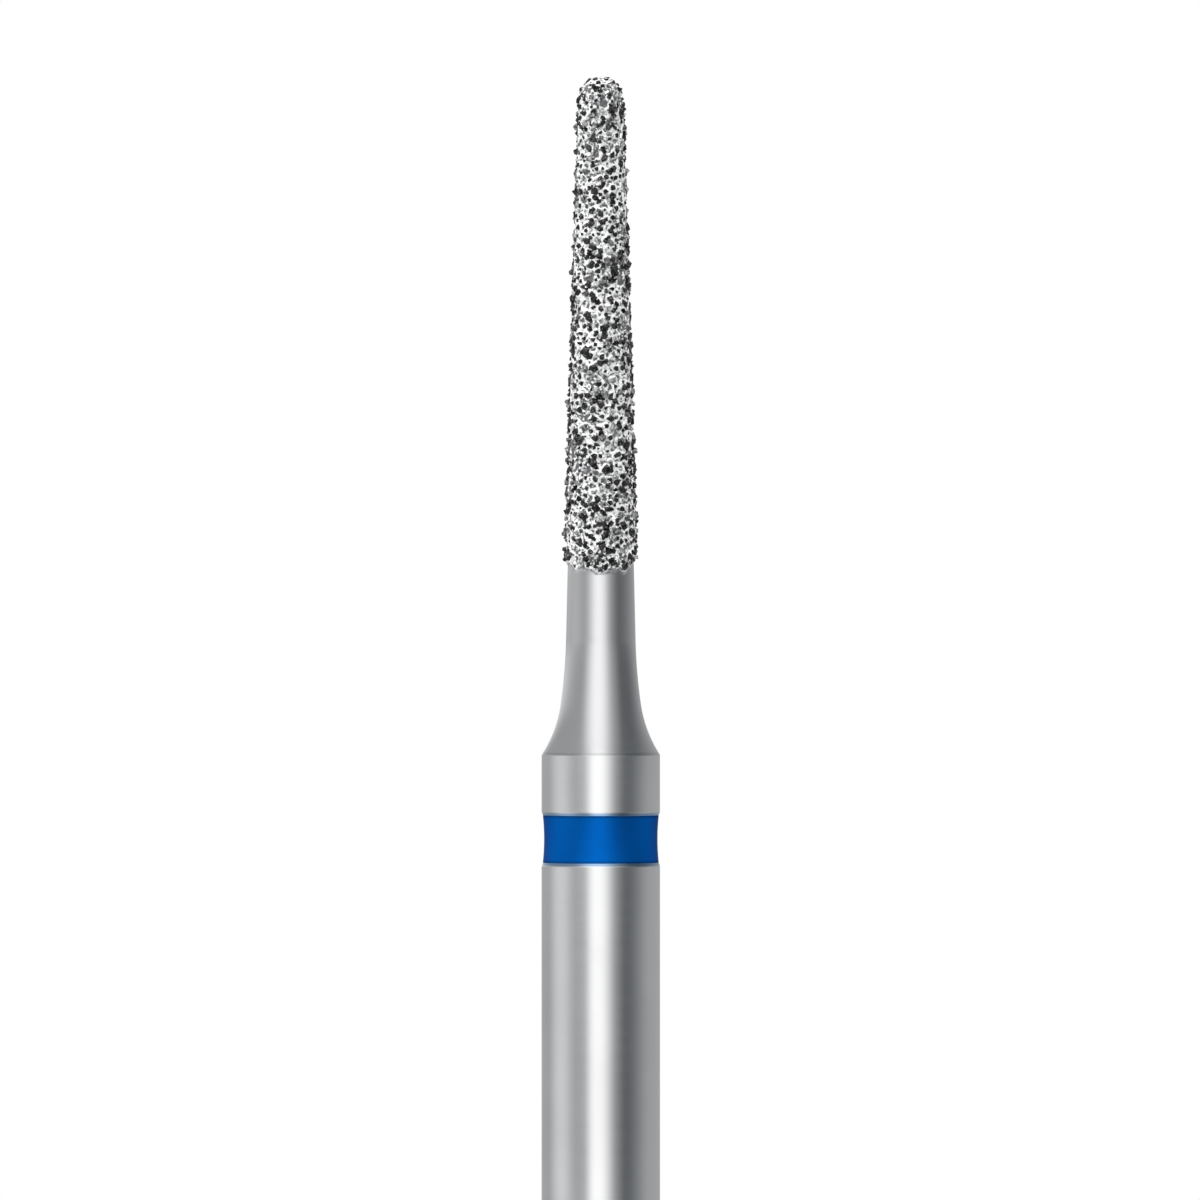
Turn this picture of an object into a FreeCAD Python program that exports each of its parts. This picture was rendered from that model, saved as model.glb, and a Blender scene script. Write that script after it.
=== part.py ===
"""Round-end tapered diamond bur on a 1.6 mm friction-grip shank, as a parametric document.

Millimetres. The origin is the centre of the shank's end face and +Z runs along the axis to the tip.
"""

import FreeCAD, Part
import math
import os
import random
from collections import namedtuple

import Sketcher
from FreeCAD import Placement, Rotation, Vector

# Sizes that can be set: name, value in millimetres or degrees, and what it measures
SIZES = (
    ("shank_diameter", 1.6, "shank, as a friction-grip chuck takes it"),
    ("shank_length", 11.862, "from the end face to the face above the collar"),
    ("end_chamfer", 0.2, "chamfer round the end face"),
    ("collar_edge", 0.022, "chamfer round the collar's upper edge"),
    ("groove_setback", 0.802, "from the collar's face down to the ring groove"),
    ("groove_width", 0.735, "ring groove at the shank's surface"),
    ("groove_depth", 0.16, "floor of the ring groove below the shank's surface"),
    ("bevel_width", 0.049, "bevel along the axis at each edge of the groove"),
    ("bevel_depth", 0.018, "fall of that bevel towards the axis"),
    ("ring_dip", 0.015, "hollow in the middle of the ring's outer face"),
    ("neck_length", 2.408, "from the collar's face to the head's shoulder"),
    ("neck_diameter", 0.898, "neck at the head's shoulder"),
    ("neck_taper", 1.35, "half angle of the neck's straight stretch"),
    ("flare_length", 1.522, "flare above the collar, up to the straight stretch"),
    ("foot_length", 0.634, "lower, steeper arc of that flare"),
    ("upper_flare_rise", 0.074, "growth in radius over the upper, gentler arc"),
    ("head_length", 6.68, "from the shoulder to the top of the nickel"),
    ("plate_step", 0.009, "how far the nickel stands out from the neck"),
    ("tip_diameter", 0.57, "nickel dome at the tip"),
    ("nickel_thickness", 0.078, "nickel between the core and the open surface"),
    ("grain_size", 0.126, "diamond grain across its corners"),
    ("grain_pitch", 0.148, "mean distance between neighbouring grains"),
    ("grain_sink", 0.014, "middle of a grain below the nickel's surface"),
    ("grain_root", 0.03, "part of a grain below its middle"),
    ("grain_lean", 10.0, "most that a grain leans from upright"),
    ("edge_height", 0.2, "mean height of the lowest grains above the shoulder"),
    ("edge_slope", 0.15, "how much lower those grains start at the front"),
)

# Facets round the nickel and bands of facets over its dome
NICKEL_SIDES = 24
DOME_BANDS = 4
# Share of full size that the smallest grain has, and share of the pitch that a grain may be out of place
SMALLEST_GRAIN = 0.8
GRAIN_SCATTER = 0.14
GRAIN_SEED = 7
GOLDEN_ANGLE = math.pi * (3 - math.sqrt(5))

# Radii and heights along the blank, worked out from the sizes
SHANK_RADIUS = "Sizes.shank_diameter / 2"
COLLAR_FACE = "Sizes.shank_length"
GROOVE_TOP = f"({COLLAR_FACE} - Sizes.groove_setback)"
GROOVE_FOOT = f"({GROOVE_TOP} - Sizes.groove_width)"
GROOVE_FLOOR = f"({SHANK_RADIUS} - Sizes.groove_depth)"
LIP_RADIUS = f"({SHANK_RADIUS} - Sizes.bevel_depth)"
BAND_TOP = f"({GROOVE_TOP} - Sizes.bevel_width)"
BAND_FOOT = f"({GROOVE_FOOT} + Sizes.bevel_width)"
BAND_HALF = f"(({BAND_TOP} - {BAND_FOOT}) / 2)"
DIP_RADIUS = f"({BAND_HALF} ^ 2 + Sizes.ring_dip ^ 2) / (2 * Sizes.ring_dip)"
SHOULDER = f"({COLLAR_FACE} + Sizes.neck_length)"
NECK_RADIUS = "(Sizes.neck_diameter / 2)"
FLARE_TOP = f"({COLLAR_FACE} + Sizes.flare_length)"
FLARE_TOP_RADIUS = f"({NECK_RADIUS} + ({SHOULDER} - {FLARE_TOP}) * tan(Sizes.neck_taper))"
FOOT_TOP = f"({COLLAR_FACE} + Sizes.foot_length)"
FOOT_TOP_RADIUS = f"({FLARE_TOP_RADIUS} + Sizes.upper_flare_rise)"

# The nickel is a cone that runs smoothly into a dome, and the core keeps one thickness below it
NICKEL_BASE = f"({NECK_RADIUS} + Sizes.plate_step)"
DOME_RADIUS = "(Sizes.tip_diameter / 2)"
DOME_RISE = f"(Sizes.head_length - {DOME_RADIUS})"
DOME_CENTRE = f"({SHOULDER} + {DOME_RISE})"
HEAD_TAPER = (
    f"(acos({DOME_RADIUS} / hypot({NICKEL_BASE}; {DOME_RISE}))"
    f" - atan2({DOME_RISE}; {NICKEL_BASE}))"
)
CORE_DOME = f"({DOME_RADIUS} - Sizes.nickel_thickness)"
CORE_BASE = f"({NICKEL_BASE} - Sizes.nickel_thickness / cos({HEAD_TAPER}))"
CORE_TOP_RADIUS = f"{CORE_DOME} * cos({HEAD_TAPER})"
CORE_TOP = f"({DOME_CENTRE} + {CORE_DOME} * sin({HEAD_TAPER}))"

ON_AXIS = ON_BASE = "0"

# A corner of a half section. The edge that leaves it is straight, or an arc that turns by about so
# many degrees, left being positive. Smooth corners join their two edges with no kink.
Corner = namedtuple("Corner", "radius height turn smooth arc_radius", defaults=(0, False, None))


def size_sheet(doc):
    sheet = doc.addObject("Spreadsheet::Sheet", "Sizes")
    for row, (name, value, note) in enumerate(SIZES, start=1):
        sheet.set(f"A{row}", name)
        sheet.set(f"B{row}", str(value))
        sheet.set(f"C{row}", note)
        sheet.setAlias(f"B{row}", name)
    doc.recompute()
    return sheet


def measure(sheet, expression):
    """The value of an expression on the sheet, in millimetres or degrees."""
    result = sheet.evalExpression(expression)
    return getattr(result, "Value", result)


def edge_between(start, end, turn):
    """A line, or the arc that turns by so many degrees on its way from start to end."""
    if turn == 0:
        return Part.LineSegment(start, end)
    chord = end - start
    bulge = Vector(chord.y, -chord.x, 0) * (math.tan(math.radians(turn) / 4) / 2)
    return Part.Arc(start, start + chord * 0.5 + bulge, end)


def end_at(sketch, edge, point):
    """Which end of a sketched edge, 1 or 2, lies at the point."""
    return min((1, 2), key=lambda end: sketch.getPoint(edge, end).distanceToPoint(point))


def constrain(sketch, expression, *constraint):
    """Add a constraint whose value the sheet gives."""
    index = sketch.addConstraint(Sketcher.Constraint(*constraint))
    sketch.setExpression(f"Constraints[{index}]", expression)


def pin(sketch, edge, end, corner, point):
    """Hold the end of an edge at its corner's radius and height."""
    if corner.radius == ON_AXIS:
        sketch.addConstraint(Sketcher.Constraint("PointOnObject", edge, end, -2))
    else:
        constrain(sketch, corner.radius, "DistanceX", -1, 1, edge, end, point.x)
    if corner.height == ON_BASE:
        sketch.addConstraint(Sketcher.Constraint("PointOnObject", edge, end, -1))
    else:
        constrain(sketch, corner.height, "DistanceY", -1, 1, edge, end, point.y)


def half_section(body, sheet, name, corners):
    """Sketch a closed outline, radius across and height up, with every corner pinned to the sheet."""
    sketch = body.newObject("Sketcher::SketchObject", name)
    plane = next(item for item in body.Origin.OriginFeatures if item.Role == "XZ_Plane")
    sketch.AttachmentSupport = (plane, [""])
    sketch.MapMode = "FlatFace"
    points = [Vector(measure(sheet, c.radius), measure(sheet, c.height), 0) for c in corners]
    for corner, start, end in zip(corners, points, points[1:] + points[:1]):
        sketch.addGeometry(edge_between(start, end, corner.turn), False)
    for edge, (corner, point) in enumerate(zip(corners, points)):
        before = (edge - 1) % len(corners)
        here = end_at(sketch, edge, point)
        there = end_at(sketch, before, point)
        join = "Tangent" if corner.smooth else "Coincident"
        sketch.addConstraint(Sketcher.Constraint(join, before, there, edge, here))
        pin(sketch, edge, here, corner, point)
        if corner.arc_radius:
            constrain(sketch, corner.arc_radius, "Radius", edge, measure(sheet, corner.arc_radius))
    return sketch


def turned(body, sheet, kind, name, corners):
    """Turn a half section round the axis, as material or as a groove in it."""
    sketch = half_section(body, sheet, f"{name}_section", corners)
    feature = body.newObject(kind, name)
    feature.Profile = sketch
    feature.ReferenceAxis = (sketch, ["V_Axis"])
    feature.Angle = 360


def turned_piece(doc, label):
    body = doc.addObject("PartDesign::Body", label)
    body.Label = label
    body.Placement = Placement()
    return body


def steel_blank(doc, sheet):
    """The blank is turned in one: shank, ring groove, collar, flared neck and the head's core."""
    body = turned_piece(doc, "steel_blank")
    turned(body, sheet, "PartDesign::Revolution", "blank_form", (
        Corner(ON_AXIS, ON_BASE),
        Corner(f"{SHANK_RADIUS} - Sizes.end_chamfer", ON_BASE),
        Corner(SHANK_RADIUS, "Sizes.end_chamfer"),
        Corner(SHANK_RADIUS, f"{COLLAR_FACE} - Sizes.collar_edge"),
        Corner(f"{SHANK_RADIUS} - Sizes.collar_edge", COLLAR_FACE, turn=-23),
        Corner(FOOT_TOP_RADIUS, FOOT_TOP, turn=-7, smooth=True),
        Corner(FLARE_TOP_RADIUS, FLARE_TOP, smooth=True),
        Corner(NECK_RADIUS, SHOULDER),
        Corner(CORE_BASE, SHOULDER),
        Corner(CORE_TOP_RADIUS, CORE_TOP, turn=88, smooth=True),
        Corner(ON_AXIS, f"{DOME_CENTRE} + {CORE_DOME}"),
    ))
    turned(body, sheet, "PartDesign::Groove", "ring_groove", (
        Corner(SHANK_RADIUS, GROOVE_FOOT),
        Corner(SHANK_RADIUS, GROOVE_TOP),
        Corner(LIP_RADIUS, BAND_TOP),
        Corner(GROOVE_FLOOR, BAND_TOP),
        Corner(GROOVE_FLOOR, BAND_FOOT),
        Corner(LIP_RADIUS, BAND_FOOT),
    ))
    return body


def colour_ring(doc, sheet):
    """The lacquer ring fills the groove up to its bevels, and its face is hollow where it dried."""
    body = turned_piece(doc, "colour_ring")
    turned(body, sheet, "PartDesign::Revolution", "ring_form", (
        Corner(GROOVE_FLOOR, BAND_FOOT),
        Corner(LIP_RADIUS, BAND_FOOT, turn=-11, arc_radius=DIP_RADIUS),
        Corner(LIP_RADIUS, BAND_TOP),
        Corner(GROOVE_FLOOR, BAND_TOP),
    ))
    return body


class Head:
    """The nickel's open surface: a cone that runs smoothly into a dome."""

    def __init__(self, sheet):
        self.shoulder = measure(sheet, SHOULDER)
        self.base_radius = measure(sheet, NICKEL_BASE)
        self.dome_radius = measure(sheet, DOME_RADIUS)
        self.dome_centre = measure(sheet, DOME_CENTRE)
        self.taper = math.radians(measure(sheet, HEAD_TAPER))
        self.rim_radius = self.dome_radius * math.cos(self.taper)
        self.rim_height = self.dome_centre + self.dome_radius * math.sin(self.taper)

    def on_dome(self, slant):
        """Radius and height of the dome where its surface faces slant radians away from +Z."""
        return self.dome_radius * math.sin(slant), self.dome_centre + self.dome_radius * math.cos(slant)

    def steepest(self):
        """The slant of the cone, at which the dome begins."""
        return math.pi / 2 - self.taper

    def dome_area(self):
        return 2 * math.pi * self.dome_radius ** 2 * (1 - math.sin(self.taper))

    def cone_area(self):
        slope = (self.rim_height - self.shoulder) / math.cos(self.taper)
        return math.pi * (self.base_radius + self.rim_radius) * slope

    def after_area(self, area):
        """Radius, height and slant of the circle that has so much of the surface above it."""
        if area < self.dome_area():
            slant = math.acos(1 - area / (2 * math.pi * self.dome_radius ** 2))
            return *self.on_dome(slant), slant
        rest = (area - self.dome_area()) / math.pi
        down = rest / (self.rim_radius + math.sqrt(self.rim_radius ** 2 + rest * math.sin(self.taper)))
        radius = self.rim_radius + down * math.sin(self.taper)
        return radius, self.rim_height - down * math.cos(self.taper), self.steepest()


def polygon_face(points):
    return Part.Face(Part.makePolygon(points + points[:1]))


def closed_solid(faces):
    shell = Part.makeShell(faces)
    shell.sewShape()
    return Part.Solid(shell)


def circle_points(radius, height):
    """The corners of the nickel's facets on one circle."""
    angles = [2 * math.pi * side / NICKEL_SIDES for side in range(NICKEL_SIDES)]
    return [Vector(radius * math.cos(angle), radius * math.sin(angle), height) for angle in angles]


def nickel_form(head):
    """The plated form in flat facets, from the shoulder to the tip, with no room for the core yet."""
    circles = [circle_points(head.base_radius, head.shoulder)]
    for band in range(DOME_BANDS, 0, -1):
        circles.append(circle_points(*head.on_dome(head.steepest() * band / DOME_BANDS)))
    apex = Vector(0, 0, head.dome_centre + head.dome_radius)
    faces = [polygon_face(circles[0])]
    for side in range(NICKEL_SIDES):
        after = (side + 1) % NICKEL_SIDES
        for lower, upper in zip(circles, circles[1:]):
            faces.append(polygon_face([lower[side], lower[after], upper[after], upper[side]]))
        faces.append(polygon_face([circles[-1][side], circles[-1][after], apex]))
    return closed_solid(faces)


def grain_form(sheet):
    """One pointed grain: the open half of an eight-sided crystal, on a root that stays in the nickel."""
    half = measure(sheet, "Sizes.grain_size / 2")
    root = -measure(sheet, "Sizes.grain_root")
    corners = [Vector(half, 0, root), Vector(0, half, root), Vector(-half, 0, root), Vector(0, -half, root)]
    point = Vector(0, 0, half)
    sides = [polygon_face([a, b, point]) for a, b in zip(corners, corners[1:] + corners[:1])]
    return closed_solid([polygon_face(corners)] + sides)


def grain_seats(sheet, head):
    """Evenly spread seats that wind down from the tip: angle round the axis, radius, height, slant."""
    whole = head.dome_area() + head.cone_area()
    cell = measure(sheet, "Sizes.grain_pitch") ** 2 * math.sqrt(3) / 2
    count = int(whole / cell)
    for number in range(count):
        yield number * GOLDEN_ANGLE, *head.after_area((number + 0.5) * whole / count)


def diamond_grains(sheet, head):
    """The grains, each turned, leaned, sized and moved a little by chance, down to a sloping edge."""
    chance = random.Random(GRAIN_SEED)
    form = grain_form(sheet)
    scatter = measure(sheet, "Sizes.grain_pitch") * GRAIN_SCATTER
    sink = measure(sheet, "Sizes.grain_sink")
    lean = math.tan(math.radians(measure(sheet, "Sizes.grain_lean")))
    edge = head.shoulder + measure(sheet, "Sizes.edge_height")
    slope = measure(sheet, "Sizes.edge_slope")
    grains = []
    for angle, radius, height, slant in grain_seats(sheet, head):
        angle += chance.uniform(-scatter, scatter) / max(radius, scatter)
        height += chance.uniform(-scatter, scatter) * math.sin(slant)
        if height < edge + slope * math.sin(angle):
            continue
        around = Vector(math.cos(angle), math.sin(angle), 0)
        outward = around * math.sin(slant) + Vector(0, 0, math.cos(slant))
        leaning = outward + Vector(*(chance.uniform(-lean, lean) for axis in range(3)))
        spin = Rotation(Vector(0, 0, 1), chance.uniform(0, 90))
        seat = around * radius + Vector(0, 0, height) - outward * sink
        grain = form.copy()
        grain.scale(chance.uniform(SMALLEST_GRAIN, 1))
        grain.Placement = Placement(seat, Rotation(Vector(0, 0, 1), leaning) * spin)
        grains.append(grain)
    return grains


def diamond_coating(doc, sheet, blank):
    """Nickel plated on to the core, with one layer of diamond grains held in it."""
    head = Head(sheet)
    nickel = nickel_form(head).cut(blank.Shape)
    coating = doc.addObject("Part::Feature", "diamond_coating")
    coating.Label = "diamond_coating"
    coating.Shape = nickel.multiFuse(diamond_grains(sheet, head)).Solids[0]
    coating.Placement = Placement()
    return coating


def check_document(doc, pieces):
    """Stop if any object failed, or if a piece is not one sound solid."""
    for item in doc.Objects:
        if {"Invalid", "Error"} & set(item.State):
            raise RuntimeError(f"{item.Label} failed: {item.State}")
    for item in pieces:
        if item.Shape.isNull() or not item.Shape.isValid():
            raise RuntimeError(f"{item.Label} has no sound shape")


def main():
    doc = FreeCAD.newDocument("diamond_bur")
    sheet = size_sheet(doc)
    blank = steel_blank(doc, sheet)
    ring = colour_ring(doc, sheet)
    doc.recompute()
    coating = diamond_coating(doc, sheet, blank)
    doc.recompute()
    pieces = (blank, ring, coating)
    check_document(doc, pieces)
    os.makedirs("parts", exist_ok=True)
    for item in pieces:
        item.Shape.exportStep(f"parts/{item.Label}.step")
        print(item.Label, len(item.Shape.Solids), "solid", round(item.Shape.Volume, 4), "cubic mm")


main()
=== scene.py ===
"""Looks of a round-end tapered diamond bur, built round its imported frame.

Metres, in the frame's axes: the bur stands on the end of its shank and +Z runs along it to the tip.
"""

import math
import random
from collections import namedtuple

import bmesh
import bpy
import numpy as np
from mathutils import Matrix, Vector
from mathutils.kdtree import KDTree


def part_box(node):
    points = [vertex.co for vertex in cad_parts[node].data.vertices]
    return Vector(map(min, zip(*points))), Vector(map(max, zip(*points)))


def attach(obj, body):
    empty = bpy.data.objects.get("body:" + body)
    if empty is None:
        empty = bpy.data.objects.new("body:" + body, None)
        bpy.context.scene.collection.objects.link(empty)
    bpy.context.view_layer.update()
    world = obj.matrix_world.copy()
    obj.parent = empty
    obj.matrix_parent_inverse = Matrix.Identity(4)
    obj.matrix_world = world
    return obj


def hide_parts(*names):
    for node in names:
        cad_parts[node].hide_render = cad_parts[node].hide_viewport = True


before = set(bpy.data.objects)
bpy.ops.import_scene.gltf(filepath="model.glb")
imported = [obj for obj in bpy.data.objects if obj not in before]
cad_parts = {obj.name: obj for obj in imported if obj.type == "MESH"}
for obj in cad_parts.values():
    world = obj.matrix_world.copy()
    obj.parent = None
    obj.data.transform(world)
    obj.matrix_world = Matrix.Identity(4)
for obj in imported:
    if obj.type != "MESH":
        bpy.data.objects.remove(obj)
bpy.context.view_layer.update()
BLANK_LOW, BLANK_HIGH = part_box("steel_blank")
RING_LOW, RING_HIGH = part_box("colour_ring")
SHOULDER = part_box("diamond_coating")[0].z

bl_info = {
    "name": "Diamond bur",
    "version": (1, 0, 0),
    "blender": (4, 5, 0),
    "location": "View3D > Sidebar > Bur",
    "description": "Steel shank and neck, lacquer ring, nickel plate and diamond grains of a dental bur",
    "category": "Object",
}

MM = 0.001
MICRON = 0.000001
GOLDEN_ANGLE = math.pi * (3 - math.sqrt(5))

# Facets round a turned piece, points on a rounded edge, and points along a longer arc
TURNED_SIDES = 256
EDGE_POINTS = 6
ARC_POINTS = 24

# Degrees that the arcs of the flare and the core's round end turn to the right
LOWER_FLARE_TURN = 23
UPPER_FLARE_TURN = 7
ROUND_END_TURN = -90

# Facets of the nickel round the axis and along it, and points along the round end of its bore
NICKEL_SIDES = 208
NICKEL_ROWS = 468
BORE_POINTS = 6

# How many of the nearest grains shape the nickel at a point, and where the flank of a grain begins, as
# a share of its half width
NEAR_GRAINS = 3
FLANK_SHARE = 0.8

# Grains: different forms, corners of a form, and trial seats for each grain
GRAIN_FORMS = 24
GRAIN_CORNERS = 9
SEAT_TRIALS = 4

# Limits of what chance picks: the width of a grain as a share of the mean (least, most, likeliest), its
# lift and a stray's further lift in microns, and the tones of dark and of pale grains
GRAIN_WIDTHS = (0.35, 1.55, 0.8)
GRAIN_LIFTS = (-6, 8)
STRAY_LIFTS = (14, 34)
DARK_TONES = (0, 0.03)
PALE_TONES = (0.06, 0.45)

# The same for a form: how a corner is moved, how far out it then lies, and the stretch along an axis
CORNER_MOVES = (-0.28, 0.28)
CORNER_REACHES = (0.86, 1.08)
FORM_STRETCHES = (0.78, 1.12)

# Scales of the noise in the materials, per metre. Three numbers are across, across and along the axis.
FINE_MARKS = (900.0, 900.0, 90000.0)
BROAD_MARKS = (260.0, 260.0, 9000.0)
STEEL_CLOUDS = 700.0
LACQUER_STREAKS = (1500.0, 1500.0, 24000.0)
LACQUER_CLOUDS = 2600.0
NICKEL_GRAIN = 42000.0
NICKEL_NODULES = 15000.0
NICKEL_PATCHES = 2600.0
NICKEL_FLECKS = 34000.0
DIAMOND_FLAWS = 36000.0

# Width of the camera's sensor in millimetres, and how near it sees, as a share of the way to the bur
SENSOR_WIDTH = 36
NEAR_SHARE = 0.1


# Sizes and colours that a user would change

def length(name, description, default):
    """A size in metres."""
    return bpy.props.FloatProperty(
        name=name, description=description, default=default, min=0, precision=6, unit="LENGTH"
    )


def angle(name, description, degrees):
    """An angle, with its default in degrees."""
    return bpy.props.FloatProperty(
        name=name, description=description, default=math.radians(degrees), subtype="ANGLE"
    )


def share(name, description, default):
    """A number from 0 to 1."""
    return bpy.props.FloatProperty(
        name=name, description=description, default=default, min=0, max=1, subtype="FACTOR"
    )


def colour(name, description, default):
    """A colour as linear red, green and blue."""
    return bpy.props.FloatVectorProperty(
        name=name, description=description, default=default, min=0, max=1, subtype="COLOR"
    )


def lamp_strength(name, description, default):
    """The strength of a lamp."""
    return bpy.props.FloatProperty(name=name, description=description, default=default, min=0)


class SteelSizes(bpy.types.PropertyGroup):
    """Sizes and finish of the turned and ground blank."""

    shank_radius: length("Shank radius", "Ground shank and collar", BLANK_HIGH.x)
    end_chamfer: length("End chamfer", "Chamfer round the end face", 0.2 * MM)
    groove_margin: length("Groove bevel", "Bevel along the axis at each edge of the groove", 0.049 * MM)
    groove_depth: length("Groove depth", "Groove floor below the shank", 0.16 * MM)
    lip_radius: length("Lip radius", "Foot of the groove's bevels", RING_HIGH.x)
    collar_face: length("Collar face", "Height of the face above the collar", 11.862 * MM)
    collar_edge: length("Collar edge", "Depth of the broken upper edge of the collar", 0.022 * MM)
    collar_edge_rise: length("Collar edge rise", "Height of that broken edge", 0.038 * MM)
    flare_foot: length("Flare foot", "Height of the steep lower arc", 0.634 * MM)
    flare_height: length("Flare height", "Height of both arcs together", 1.522 * MM)
    upper_flare_rise: length("Upper flare", "Growth in radius over the gentle arc", 0.074 * MM)
    neck_radius: length("Neck radius", "Neck where the head begins", 0.449 * MM)
    neck_taper: angle("Neck taper", "Half angle of the straight neck", 1.35)
    core_radius: length("Core radius", "Core under the nickel at its foot", 0.38 * MM)
    core_tip: length("Core tip", "Radius of the core's round end", 0.207 * MM)
    edge_rounding: length("Edge rounding", "Radius left on ground edges", 0.006 * MM)
    roughness: share("Roughness", "Roughness of the ground steel between its marks", 0.13)
    brushing: share("Brushing", "How far the marks draw out a reflection", 0.5)
    mark_depth: length("Mark depth", "Depth of the grinding marks", 0.12 * MICRON)
    tint: colour("Steel", "Colour of the ground steel", (0.73, 0.725, 0.725))
    # Painted shade: the collar's broken upper edge is darkened so that it shines no brighter than the
    # collar.
    edge_shade_tint: colour("Edge", "Colour of the collar's dull upper edge", (0.54, 0.54, 0.54))
    film_tint: colour("Film", "Colour of the bevels, under a thin film of lacquer", (0.28, 0.42, 0.6))
    # The neck's colour is darker than the shank's partly for its turned finish and partly as painted shade,
    # standing in for the lesser light on the neck.
    neck_finish_and_shade_tint: colour("Neck steel", "Colour of the turned neck, less bright than the ground shank",
                      (0.63, 0.625, 0.63))


class RingSizes(bpy.types.PropertyGroup):
    """Sizes and finish of the lacquer ring."""

    dip: length("Dip", "Hollow in the middle of the ring's face", 0.017 * MM)
    lip_rounding: length("Lip rounding", "Radius left on the two lips of the face", MICRON)
    rim: length("Rim", "Height over which the colour deepens at each edge", 0.05 * MM)
    roughness: share("Roughness", "Roughness of the lacquer between its streaks", 0.3)
    shine: share("Shine", "How much the steel shines through the lacquer", 0.75)
    gloss: share("Gloss", "Reflection of the lacquer's own surface", 0.05)
    ripple: length("Ripple", "Height of the lacquer's ripples", 0.4 * MICRON)
    tint: colour("Lacquer", "Colour where the film is thin", (0.001, 0.099, 0.41))
    deep_tint: colour("Deep lacquer", "Colour where the film is thick, at both edges", (0.001, 0.045, 0.17))
    glance_tint: colour("Glancing lacquer", "Colour seen at a glancing angle", (0.001, 0.22, 0.06))


class HeadSizes(bpy.types.PropertyGroup):
    """Sizes and finish of the nickel and the diamond grains."""

    base_radius: length("Nickel radius", "Nickel where the head begins", 0.458 * MM)
    tip_radius: length("Tip radius", "Nickel dome at the tip", 0.272 * MM)
    head_length: length("Head length", "From the shoulder to the top of the nickel", 6.668 * MM)
    grain_pitch: length("Grain pitch", "Mean distance between neighbouring grains", 0.092 * MM)
    grain_size: length("Grain size", "Mean width of a grain", 0.107 * MM)
    grain_rise: length("Grain rise", "Middle of a grain above the nickel", 0.014 * MM)
    climb: length("Climb", "Height to which the nickel climbs the grains", 0.028 * MM)
    reach: length("Reach", "Distance over which the nickel falls away from a grain", 0.021 * MM)
    edge_fade: length("Edge fade", "Height over which the plate thins out below the grains", 0.06 * MM)
    lap: length("Lap", "How far the nickel's thin edge laps over the neck", 0.02 * MM)
    edge_thickness: length("Edge thickness", "Thickness of that edge", 0.0008 * MM)
    edge_height: length("Edge height", "Mean height of the lowest grains above the shoulder", 0.18 * MM)
    edge_slope: length("Edge slope", "How much lower those grains start at the front", 0.15 * MM)
    dome_grain: length("Dome grain", "Largest half width of a grain on the round end", 0.052 * MM)
    stray_share: share("Strays", "Share of the grains that stand out from the rest", 0.07)
    pale_share: share("Pale grains", "Share of the other grains that are pale", 0.17)
    seed: bpy.props.IntProperty(name="Seed", description="Seed of every choice by chance", default=7)
    nickel_roughness: share("Nickel roughness", "Roughness of the nickel's bare margin", 0.2)
    nodule_height: length("Nodules", "Height of the nickel's fine nodules", 32 * MICRON)
    nickel_tint: colour("Nickel", "Colour of the plated nickel", (0.99, 0.99, 0.985))
    # Painted shade in the hollows between grains. The same dark colour also gives dark patches and flecks
    # at random.
    shade_and_fleck_tint: colour("Slack nickel", "Colour of the dull nickel in the hollows", (0.14, 0.14, 0.145))
    dark_tint: colour("Dark grain", "Colour of the darkest grains", (0.001, 0.001, 0.001))
    pale_tint: colour("Pale grain", "Colour of the palest grains", (0.75, 0.75, 0.76))
    grain_roughness: share("Grain roughness", "Roughness of a grain's smoothest faces", 0.05)
    flaw_height: length("Flaws", "Height of the flaws on a grain's faces", 2 * MICRON)
    grain_index: bpy.props.FloatProperty(
        name="Grain index", description="Index of refraction of a grain's surface", default=1.34, min=1
    )


class StageSizes(bpy.types.PropertyGroup):
    """Camera, floor, lamps and surroundings."""

    camera_height: length("Camera height", "Height of the camera and of its target", 13.914 * MM)
    camera_distance: length("Camera distance", "From the bur's axis to the camera", 179.8 * MM)
    camera_side: length("Camera side", "How far the camera stands to the left", 0.011 * MM)
    lens: bpy.props.FloatProperty(
        name="Lens", description="Focal length in millimetres", default=400, min=1, unit="CAMERA"
    )
    floor_width: length("Floor width", "Width of the floor", 3.0)
    floor_tint: colour("Floor", "Colour of the floor", (1.0, 1.0, 1.0))
    left_lamp: lamp_strength("Left lamp", "Strength of the left lamp", 4.6)
    right_lamp: lamp_strength("Right lamp", "Strength of the right lamp", 4.2)
    lamp_bearing: angle("Lamp bearing", "How far each lamp stands to the side, seen from the bur", 72)
    lamp_elevation: angle("Lamp elevation", "Height of the lamps above the horizon", 38)
    lamp_softness: angle("Lamp softness", "Angle that each lamp spans, seen from the bur", 30)
    backdrop: colour("Backdrop", "What the camera sees behind the bur", (1.0, 1.0, 1.0))


# Soft panels that stand round the bur: their brightness starts, is full, fades and is gone at these
# angles in degrees, seen from above, from the camera's side and positive to the right. A panel with a
# top reaches no higher than that many degrees, and fades over the softness below it.
Panel = namedtuple("Panel", "name starts full fades gone brightness top", defaults=(None,))
TOP_SOFTNESS = 24

# Brightness between the panels, and what red, green and blue add to all of it. The light is a little
# cool, which shows most where the dark flags leave little else to reflect.
SURROUND = 0.46
COOLNESS = (-0.011, 0.0, 0.009)

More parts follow.
